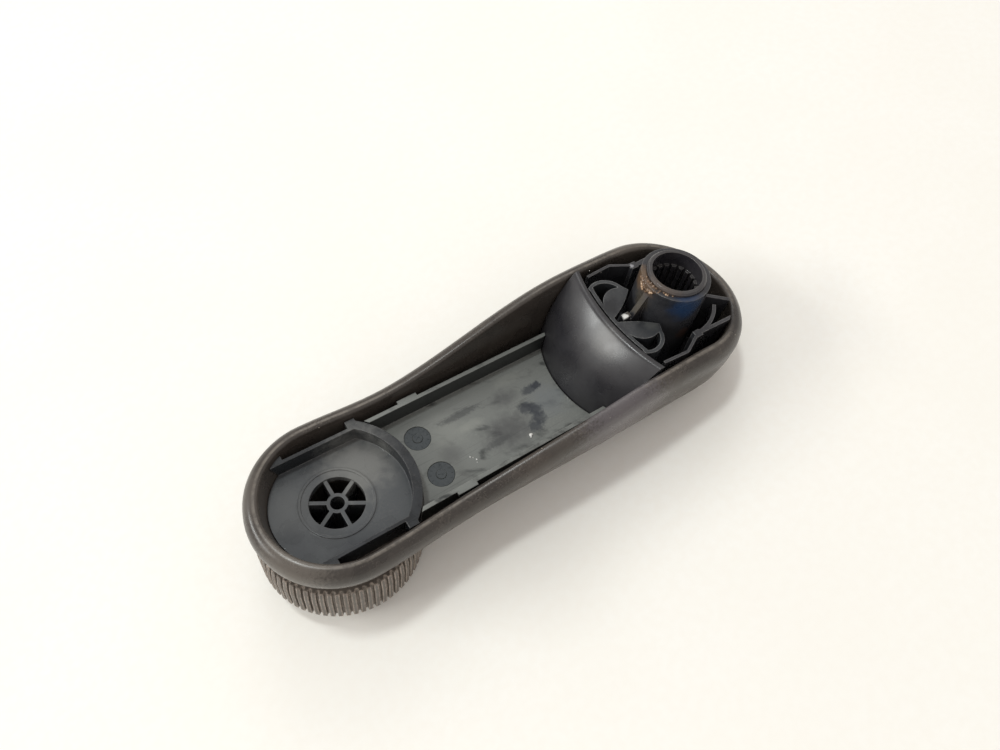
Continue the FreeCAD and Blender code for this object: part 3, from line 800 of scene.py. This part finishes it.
@dataclass(frozen=True)
class SmoothDam:
    """The curved dam as one smooth skin with a rounded top edge, in millimetres."""

    foot: float = 28.8
    top: float = 19.2
    foot_z: float = -28.57
    top_z: float = -8.1
    bulge: float = 2.0
    thickness: float = 1.5
    foot_radius: float = 26.0
    top_radius: float = 50.0
    foot_half: float = 15.05
    top_half: float = 16.45
    edge: float = 0.6
    back_edge_share: float = 0.4
    rows: int = 40
    columns: int = 60
    corner_steps: int = 5
    crease_deg: float = 50.0

    def face(self, share: float, across: float) -> Vector:
        """Give a point of the outer face.

        Args:
            share: how far up the dam it lies, from 0 to 1.
            across: how far across, from -1 to 1.

        Returns:
            The point, in millimetres.
        """
        y = across * (self.foot_half + (self.top_half - self.foot_half) * share)
        lean = self.foot + (self.top - self.foot) * share + 4 * self.bulge * share * (1 - share)
        radius = self.foot_radius + (self.top_radius - self.foot_radius) * share
        z = self.foot_z + (self.top_z - self.foot_z) * share
        return Vector((lean - radius + math.sqrt(radius * radius - y * y), y, z))

    def corner(self, below: Vector, tip: Vector, beyond: Vector) -> list[Vector]:
        """Round a corner of the section from one point to the other."""
        shares = [step / self.corner_steps for step in range(1, self.corner_steps)]
        return [below * (1 - t) ** 2 + tip * 2 * t * (1 - t) + beyond * t * t for t in shares]

    def section(self, across: float) -> list[Vector]:
        """Give the closed section at one place, from the outer foot over the top to the inner foot.

        Args:
            across: how far across the dam it lies, from -1 to 1.

        Returns:
            Its points, in millimetres.
        """
        high = 1 - self.edge / (self.top_z - self.foot_z)
        outer = [self.face(high * row / self.rows, across) for row in range(self.rows + 1)]
        back = Vector((-self.thickness, 0.0, 0.0))
        tip = self.face(1.0, across)
        ease = Vector((-self.edge, 0.0, 0.0))
        over = [tip + ease, tip + back - ease * self.back_edge_share]
        rim = self.corner(outer[-1], tip, over[0]) + over + self.corner(over[1], tip + back, outer[-1] + back)
        return outer + rim + [point + back for point in outer[::-1]]

    def build(self, paints: Paints) -> None:
        """Make the dam and hide its solid.

        Args:
            paints: the finishes in use.
        """
        work = bmesh.new()
        sections = []
        for column in range(self.columns + 1):
            points = self.section(2 * column / self.columns - 1)
            sections.append([work.verts.new(point * MM) for point in points])
        for here, there in zip(sections, sections[1:]):
            join_loops(work, here, there)
        work.faces.new(sections[0])
        work.faces.new(sections[-1][::-1])
        bmesh.ops.recalc_face_normals(work, faces=work.faces)
        mesh = bpy.data.meshes.new("smooth_dam")
        work.to_mesh(mesh)
        work.free()
        mesh.shade_smooth()
        mesh.set_sharp_from_angle(angle=math.radians(self.crease_deg))
        piece = new_piece("smooth_dam", mesh, Body.HANDLE)
        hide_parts("dam")
        paints.coat(piece, DAM_SMOOTH)
        LOG.info("curved the dam")


def turned_ring(work: bmesh.types.BMesh, place: Matrix, outline: list[tuple[float, float]],
                steps: int) -> None:
    """Turn a closed outline of radius and height about the place's Z axis.

    Args:
        work: the mesh to add to.
        place: where the ring's centre and axis lie.
        outline: radius and height pairs in millimetres.
        steps: how many steps make a full turn.
    """
    rounds = []
    for step in range(steps):
        angle = math.tau * step / steps
        points = [place @ Vector((r * math.cos(angle), r * math.sin(angle), z)) * MM for r, z in outline]
        rounds.append([work.verts.new(point) for point in points])
    for here, there in zip(rounds, rounds[1:] + rounds[:1]):
        join_loops(work, here, there)


def raised_bar(work: bmesh.types.BMesh, place: Matrix, foot: list[tuple[float, float]], height: float,
               draft: float) -> None:
    """Raise a drafted bar with a flat top on a closed foot.

    Args:
        work: the mesh to add to.
        place: where the foot's plane lies.
        foot: the foot's corners in millimetres, anticlockwise.
        height: how far the bar stands up.
        draft: how much the top shrinks towards its middle, as a share.
    """
    x_mid = sum(x for x, _ in foot) / len(foot)
    y_mid = sum(y for _, y in foot) / len(foot)
    head = [(x + (x_mid - x) * draft, y + (y_mid - y) * draft) for x, y in foot]
    low = [work.verts.new(place @ Vector((x, y, 0.0)) * MM) for x, y in foot]
    top = [work.verts.new(place @ Vector((x, y, height)) * MM) for x, y in head]
    work.faces.new(top)
    work.faces.new(low[::-1])
    join_loops(work, top, low)


@dataclass
class DateStamps:
    """Two round mould inserts in the tray, each with plain ticks round a plain arrow."""

    places: tuple[tuple[float, float, float], ...] = ((66.6, -5.4, 205.0), (66.6, 5.4, 160.0))
    level: tuple[tuple[float, float], ...] = ((46.0, 0.0), (58.0, 0.0))
    recess: float = 0.25
    outer: float = 3.12
    inner: float = 1.24
    cap_radius: float = 1.16
    cap_height: float = 0.04
    sink: float = 0.08
    edge: float = 0.05
    ticks: int = 12
    tick_length: float = 0.55
    tick_width: float = 0.16
    tick_place: float = 2.5
    tick_height: float = 0.06
    tick_draft: float = 0.25
    cap_draft: float = 0.03
    arrow_draft: float = 0.2
    arrow_length: float = 1.5
    arrow_width: float = 0.16
    head_width: float = 0.55
    steps: int = 64

    def foot(self, x: float, y: float) -> Vector:
        """Look down at the tray.

        Args:
            x: the place along the arm, in millimetres.
            y: the place across it.

        Returns:
            The point of its surface there, in millimetres.
        """
        tray = bpy.data.objects["tray"]
        hit = tray.ray_cast(Vector((x, y, 0.0)) * MM, Vector((0.0, 0.0, -1.0)))
        return hit[1] / MM

    def slope(self) -> Matrix:
        """Measure the tray's slope.

        Returns:
            The turn that lays a flat piece on the tray.
        """
        near, far = self.foot(*self.level[0]), self.foot(*self.level[1])
        along = (far - near).normalized()
        return Vector((1.0, 0.0, 0.0)).rotation_difference(along).to_matrix().to_4x4()

    def insert(self, work: bmesh.types.BMesh, x: float, y: float, turn_deg: float) -> None:
        """Add one insert: its ring, ticks and arrow.

        Args:
            work: the mesh to add to.
            x: the insert's place along the arm.
            y: the insert's place across it.
            turn_deg: where its arrow points.
        """
        slope = self.slope()
        reach = (self.inner + self.outer) / 2
        centre = (self.foot(x + reach, y) + self.foot(x - reach, y)) / 2
        place = Matrix.Translation(centre) @ slope @ Matrix.Rotation(math.radians(turn_deg), 4, "Z")
        top = self.recess - self.sink
        outline = [(self.inner, 0.0), (self.outer, 0.0), (self.outer, top - self.edge),
                   (self.outer - self.edge, top), (self.inner + self.edge, top),
                   (self.inner, top - self.edge)]
        turned_ring(work, place, outline, self.steps)
        half = self.tick_width / 2
        start = self.tick_place - self.tick_length / 2
        end = start + self.tick_length
        bar = [(start, -half), (end, -half), (end, half), (start, half)]
        for tick in range(self.ticks):
            turn = Matrix.Rotation(math.tau * tick / self.ticks, 4, "Z") @ Matrix.Translation((0.0, 0.0, top))
            raised_bar(work, place @ turn, bar, self.tick_height, self.tick_draft)
        pin = Matrix.Translation(self.foot(x, y)) @ slope @ Matrix.Rotation(math.radians(turn_deg), 4, "Z")
        ring = [math.tau * step / self.steps for step in range(self.steps)]
        disc = [(self.cap_radius * math.cos(angle), self.cap_radius * math.sin(angle)) for angle in ring]
        raised_bar(work, pin, disc, self.cap_height, self.cap_draft)
        pin = pin @ Matrix.Translation((0.0, 0.0, self.cap_height))
        half, tip = self.arrow_width / 2, self.arrow_length / 2
        neck = tip - self.head_width
        stem = [(-tip, -half), (neck, -half), (neck, half), (-tip, half)]
        head = [(neck, -self.head_width / 2), (tip, 0.0), (neck, self.head_width / 2)]
        for shape in (stem, head):
            raised_bar(work, pin, shape, self.tick_height, self.arrow_draft)

    def build(self, paints: Paints) -> None:
        """Make both inserts.

        Args:
            paints: the finishes in use.
        """
        for number, (x, y, turn_deg) in enumerate(self.places, 1):
            work = bmesh.new()
            self.insert(work, x, y, turn_deg)
            bmesh.ops.recalc_face_normals(work, faces=work.faces)
            mesh = bpy.data.meshes.new(f"date_stamp_{number}")
            work.to_mesh(mesh)
            work.free()
            piece = new_piece(f"date_stamp_{number}", mesh, Body.HANDLE)
            paints.coat(piece, STAMP_TEAL)
            LOG.info("set %s", piece.name)


@dataclass
class Lumps:
    """Soft lumps that run together where they touch, in millimetres in the handle's frame."""

    name: str
    slot: Slot
    finish: Grease | Lint
    spots: tuple[tuple[float, float, float, float], ...]
    squash: float = 1.0
    rough_share: float = 0.25
    smoothings: int = 2
    voxel: float = 0.12
    seed: float = 3.0
    wave_rate: float = 1.3
    ball_steps: int = 3

    def lump(self, work: bmesh.types.BMesh, spot: tuple[float, float, float, float]) -> None:
        """Add one uneven ball.

        Args:
            work: the mesh to add to.
            spot: its middle and its radius.
        """
        x, y, z, radius = spot
        made = bmesh.ops.create_icosphere(work, subdivisions=self.ball_steps, radius=radius)
        for vert in made["verts"]:
            wave = noise.noise(vert.co / radius * self.wave_rate + Vector((x, y, z)) * self.seed)
            vert.co *= 1.0 + self.rough_share * wave
            vert.co.z *= self.squash
            vert.co = (vert.co + Vector((x, y, z))) * MM

    def build(self, paints: Paints) -> None:
        """Join the lumps into one skin.

        Args:
            paints: the finishes in use.
        """
        work = bmesh.new()
        for spot in self.spots:
            self.lump(work, spot)
        mesh = bpy.data.meshes.new(self.name)
        work.to_mesh(mesh)
        work.free()
        piece = new_piece(self.name, mesh, Body.HANDLE)
        skin = piece.modifiers.new("one skin", "REMESH")
        skin.mode = "VOXEL"
        skin.voxel_size = self.voxel * MM
        skin.use_smooth_shade = True
        soft = piece.modifiers.new("soft", "SMOOTH")
        soft.iterations = self.smoothings
        paints.coat(piece, self.finish)
        LOG.info("laid %s", self.name)


GREASE = Lumps("grease_smear", Slot.CLIP, Grease(), (
    (7.75, -3.5, -1.25, 0.38), (7.95, -2.9, -1.35, 0.5), (8.1, -2.3, -1.6, 0.55), (8.2, -1.7, -2.0, 0.6),
    (8.3, -1.1, -2.5, 0.55), (8.35, -0.6, -3.0, 0.45), (8.35, -0.1, -2.4, 0.5), (8.3, 0.5, -1.9, 0.45),
    (8.25, 1.1, -1.5, 0.42), (8.05, 1.7, -1.3, 0.38), (7.75, 2.3, -1.2, 0.34), (7.45, -1.5, -1.0, 0.42),
    (7.5, -0.6, -1.0, 0.45), (7.5, 0.3, -1.0, 0.4), (7.35, 1.2, -1.0, 0.36), (7.05, 2.2, -1.0, 0.33),
    (6.6, 3.1, -0.95, 0.3), (6.05, 4.0, -0.95, 0.3), (5.4, 4.9, -1.0, 0.28), (7.0, -2.7, -1.0, 0.36)),
    rough_share=0.3, smoothings=8, voxel=0.1)
# Grease beads in a pale amber; the paleness paints in their glints.
BEADS_WITH_PAINTED_GLINT = Grease("grease beads with painted glint", (0.34, 0.21, 0.12), (0.62, 0.45, 0.31), 0.08, 0.3)
BEADS = Lumps("grease_beads", Slot.CLIP, BEADS_WITH_PAINTED_GLINT, (
    (8.25, -2.6, -1.75, 0.34), (8.45, -2.2, -2.1, 0.4), (8.6, -1.8, -2.5, 0.42), (8.7, -1.45, -2.9, 0.34),
    (8.75, 0.9, -1.9, 0.34), (8.6, 1.3, -1.7, 0.26), (6.5, 3.7, -0.95, 0.28), (6.3, 4.1, -1.1, 0.2),
    (7.95, -3.6, -1.3, 0.2)), rough_share=0.2, smoothings=2, voxel=0.06)
LINT = Lumps("lint_specks", Slot.TRAY, Lint(), (
    (42.9, 7.6, -28.1, 0.42), (43.2, 8.1, -28.1, 0.18), (58.6, 5.1, -28.45, 0.16), (58.1, 5.6, -28.45, 0.14),
    (57.6, 6.4, -28.45, 0.18), (57.9, 7.1, -28.45, 0.12), (8.9, -14.7, -10.1, 0.16),
    (12.2, -15.6, -8.7, 0.12)), squash=0.6, rough_share=0.5, voxel=0.05, seed=1.7)


@dataclass(frozen=True)
class Lamp:
    """One area lamp: its direction from the handle, its width and height in metres, and its watts."""

    name: str
    toward: tuple[float, float, float]
    size: tuple[float, float]
    power: float
    colour: Colour
    distance: float = 1.3

    def build(self, aim: Vector) -> None:
        """Hang the lamp so that it looks at the handle.

        Args:
            aim: the point that it looks at, in metres.
        """
        data = bpy.data.lights.new(self.name, "AREA")
        data.shape = "RECTANGLE"
        data.size, data.size_y = self.size
        data.energy = self.power
        data.color = self.colour
        lamp = bpy.data.objects.new(self.name, data)
        bpy.context.collection.objects.link(lamp)
        toward = Vector(self.toward)
        turn = (-toward).to_track_quat("-Z", "Y").to_matrix().to_4x4()
        lamp.matrix_world = Matrix.Translation(aim + toward.normalized() * self.distance) @ turn


@dataclass(frozen=True)
class FloorPaint:
    """The floor's plain pale paint, with rates in waves per metre."""

    name: str = "pale floor"
    shade: Colour = (0.925, 0.91, 0.85)
    light: Colour = (0.94, 0.93, 0.88)
    fleck: Colour = (0.915, 0.89, 0.825)
    spread: tuple[float, float] = (0.3, 0.7)
    cloud_rate: float = 18.0
    fleck_rate: float = 420.0
    fleck_share: float = 0.5
    rough: float = 0.7
    specular: float = 0.2

    def material(self) -> Material:
        """Build the material.

        Returns:
            The new material.
        """
        blank = Blank(self.name)
        bench = blank.bench
        cloud = bench.ramp(bench.noise(blank.place, self.cloud_rate, 4.0), *self.spread)
        fine = bench.ramp(bench.noise(blank.place, self.fleck_rate), *self.spread, 0.0, self.fleck_share)
        colour = bench.mix(fine, bench.mix(cloud, self.shade, self.light), self.fleck)
        return blank.filled({"Base Color": colour, "Roughness": self.rough,
                             "Specular IOR Level": self.specular})


@dataclass
class Studio:
    """Floor, lamps and the photograph's camera: a key lamp, a weak broad one and a low window."""

    tilt_deg: float = 11.49
    floor_size: float = 3.0
    touch: tuple[float, float, float] = (70.61 * MM, 0.0, -46.66 * MM)
    aim: tuple[float, float, float] = (0.045, 0.0, -0.02)
    eye: tuple[float, float, float] = (0.1132, 0.0695, 0.1277)
    right: tuple[float, float, float] = (-0.827, 0.5517, 0.1081)
    up: tuple[float, float, float] = (-0.4088, -0.7222, 0.558)
    focal_px: float = 755.9
    centre_px: tuple[float, float] = (501.2, 378.5)
    width_px: float = 1000.0
    height_px: float = 750.0
    sensor_mm: float = 36.0
    surround: float = 0.65
    surround_colour: Colour = (1.0, 0.945, 0.915)
    near_clip: float = 0.005
    paint: FloorPaint = FloorPaint()
    lamps: tuple[Lamp, ...] = (
        Lamp("key", (0.23, -0.22, 0.95), (0.14, 0.14), 4.2, (0.95, 1.0, 1.0)),
        Lamp("sheen", (-0.25, -0.62, 0.74), (0.5, 0.5), 1.5, (0.97, 1.0, 1.0)),
        Lamp("window", (0.86, -0.36, 0.36), (0.75, 0.15), 6.6, (0.98, 1.0, 0.98)))

    def normal(self) -> Vector:
        """Give the floor's normal."""
        tilt = math.radians(self.tilt_deg)
        return Vector((math.sin(tilt), 0.0, math.cos(tilt)))

    def build(self) -> None:
        """Set the floor, the lamps, the world and the camera."""
        self.floor()
        for lamp in self.lamps:
            lamp.build(Vector(self.aim))
        self.world()
        self.camera()
        bpy.context.scene.view_settings.view_transform = "Standard"

    def floor(self) -> None:
        """Lay a pale floor that touches the knob's edge and the hub's nose."""
        mesh = bpy.data.meshes.new("floor")
        half = self.floor_size / 2
        corners = [(-half, -half, 0), (half, -half, 0), (half, half, 0), (-half, half, 0)]
        mesh.from_pydata(corners, [], [(0, 1, 2, 3)])
        floor = bpy.data.objects.new("floor", mesh)
        bpy.context.collection.objects.link(floor)
        turn = Vector((0, 0, 1)).rotation_difference(self.normal())
        floor.matrix_world = Matrix.Translation(Vector(self.touch)) @ turn.to_matrix().to_4x4()
        mesh.materials.append(self.paint.material())

    def world(self) -> None:
        """Make a soft white surround."""
        world = bpy.data.worlds.new("surround")
        world.use_nodes = True
        bpy.context.scene.world = world
        background = world.node_tree.nodes["Background"]
        background.inputs["Color"].default_value = (*self.surround_colour, 1.0)
        background.inputs["Strength"].default_value = self.surround

    def camera(self) -> None:
        """Set the camera where the photograph was taken."""
        data = bpy.data.cameras.new("view")
        data.sensor_width = self.sensor_mm
        data.lens = self.focal_px / self.width_px * self.sensor_mm
        data.shift_x = (self.width_px / 2 - self.centre_px[0]) / self.width_px
        data.shift_y = (self.centre_px[1] - self.height_px / 2) / self.width_px
        data.clip_start = self.near_clip
        camera = bpy.data.objects.new("view", data)
        bpy.context.collection.objects.link(camera)
        right, up = Vector(self.right).normalized(), Vector(self.up).normalized()
        back = right.cross(up).normalized()
        up = back.cross(right)
        turn = Matrix((right, up, back)).transposed().to_4x4()
        camera.matrix_world = Matrix.Translation(Vector(self.eye)) @ turn
        bpy.context.scene.camera = camera


def main() -> None:
    """Build the scene in order."""
    logging.basicConfig(level=logging.INFO, format="%(name)s: %(message)s")
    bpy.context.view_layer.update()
    paints = Paints()
    Mouldings().build(paints)
    SmoothDam().build(paints)
    DateStamps().build(paints)
    GREASE.build(paints)
    BEADS.build(paints)
    LINT.build(paints)
    Studio().build()


if __name__ == "__main__":
    main()
